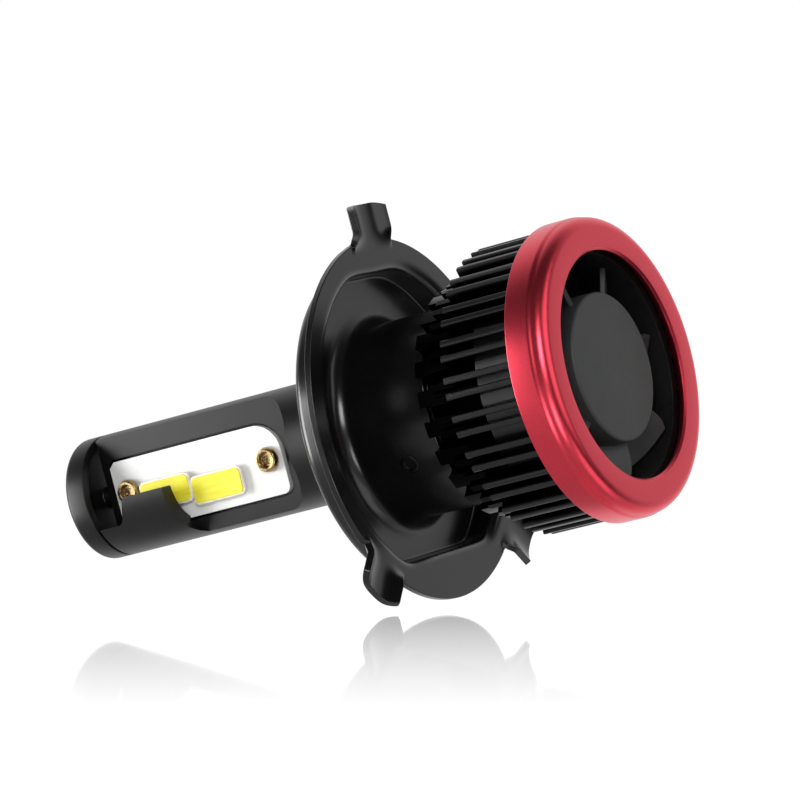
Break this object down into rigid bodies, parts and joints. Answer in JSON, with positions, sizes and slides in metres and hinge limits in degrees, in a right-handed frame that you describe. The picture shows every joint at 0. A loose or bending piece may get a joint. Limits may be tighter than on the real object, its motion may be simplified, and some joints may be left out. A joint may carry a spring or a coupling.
{
  "type": "headlight bulb",
  "caption": "Fan-cooled LED headlight bulb: black column with side LED boards and shields, three-tab pressed flange, finned heat sink and a fan behind a red ring.",
  "frame": {"origin": "on the bulb's axis, at the middle of the flange plate's thickness", "axes": "+X along the bulb's axis towards the fan (the tip points along -X), +Z towards the top tab, LED boards face -Y and +Y"},
  "size_m": [0.0747, 0.043, 0.0472],
  "materials": {
    "black_paint": "gloss",
    "black_anodised": "satin anodised",
    "red_anodised": "satin anodised",
    "white_board": "semi-gloss solder mask",
    "phosphor": "satin silicone",
    "brass": "bright",
    "steel": "plain",
    "dark_plastic": "matte moulded",
    "black_plastic": "matte moulded",
    "green_board": "semi-gloss solder mask",
    "ferrite": "matte sintered",
    "copper": "enamelled wire",
    "bronze": "sintered",
    "rubber": "matte"
  },
  "bodies": {
    "base": {"base_flange": "black_paint", "collar_set_screw": "steel", "collar_o_ring": "rubber"},
    "lamp": {"lamp_column": "black_anodised", "tip_cap": "black_anodised", "heat_sink": "black_anodised", "fan_cover_ring": "red_anodised", "cable_grommet": "rubber", "driver_board": "green_board", "driver_inductor": "ferrite", "driver_capacitor": "steel", "driver_chip": "black_plastic", "fan_frame": "black_plastic", "fan_screw_1": "steel", "fan_screw_2": "steel", "fan_screw_3": "steel", "fan_bearing": "bronze", "fan_circuit_board": "green_board", "stator_core": "steel", "stator_coil_1": "copper", "stator_coil_2": "copper", "stator_coil_3": "copper", "stator_coil_4": "copper", "led_board_left": "white_board", "low_beam_chip_left": "phosphor", "high_beam_chip_left": "phosphor", "board_screw_left_1": "brass", "board_screw_left_2": "brass", "led_board_right": "white_board", "low_beam_chip_right": "phosphor", "high_beam_chip_right": "phosphor", "board_screw_right_1": "brass", "board_screw_right_2": "brass"},
    "rotor": {"fan_impeller": "dark_plastic", "fan_shaft": "steel", "rotor_yoke": "steel", "rotor_magnet": "ferrite"}
  },
  "joints": [
    {"name": "lamp_twist", "type": "hinge", "parent": "base", "child": "lamp", "pos_m": [0, 0, 0], "axis": [1, 0, 0], "range_deg": [-30, 30]},
    {"name": "fan_spin", "type": "hinge", "parent": "lamp", "child": "rotor", "pos_m": [0.024, 0, 0], "axis": [1, 0, 0], "continuous": true}
  ]
}
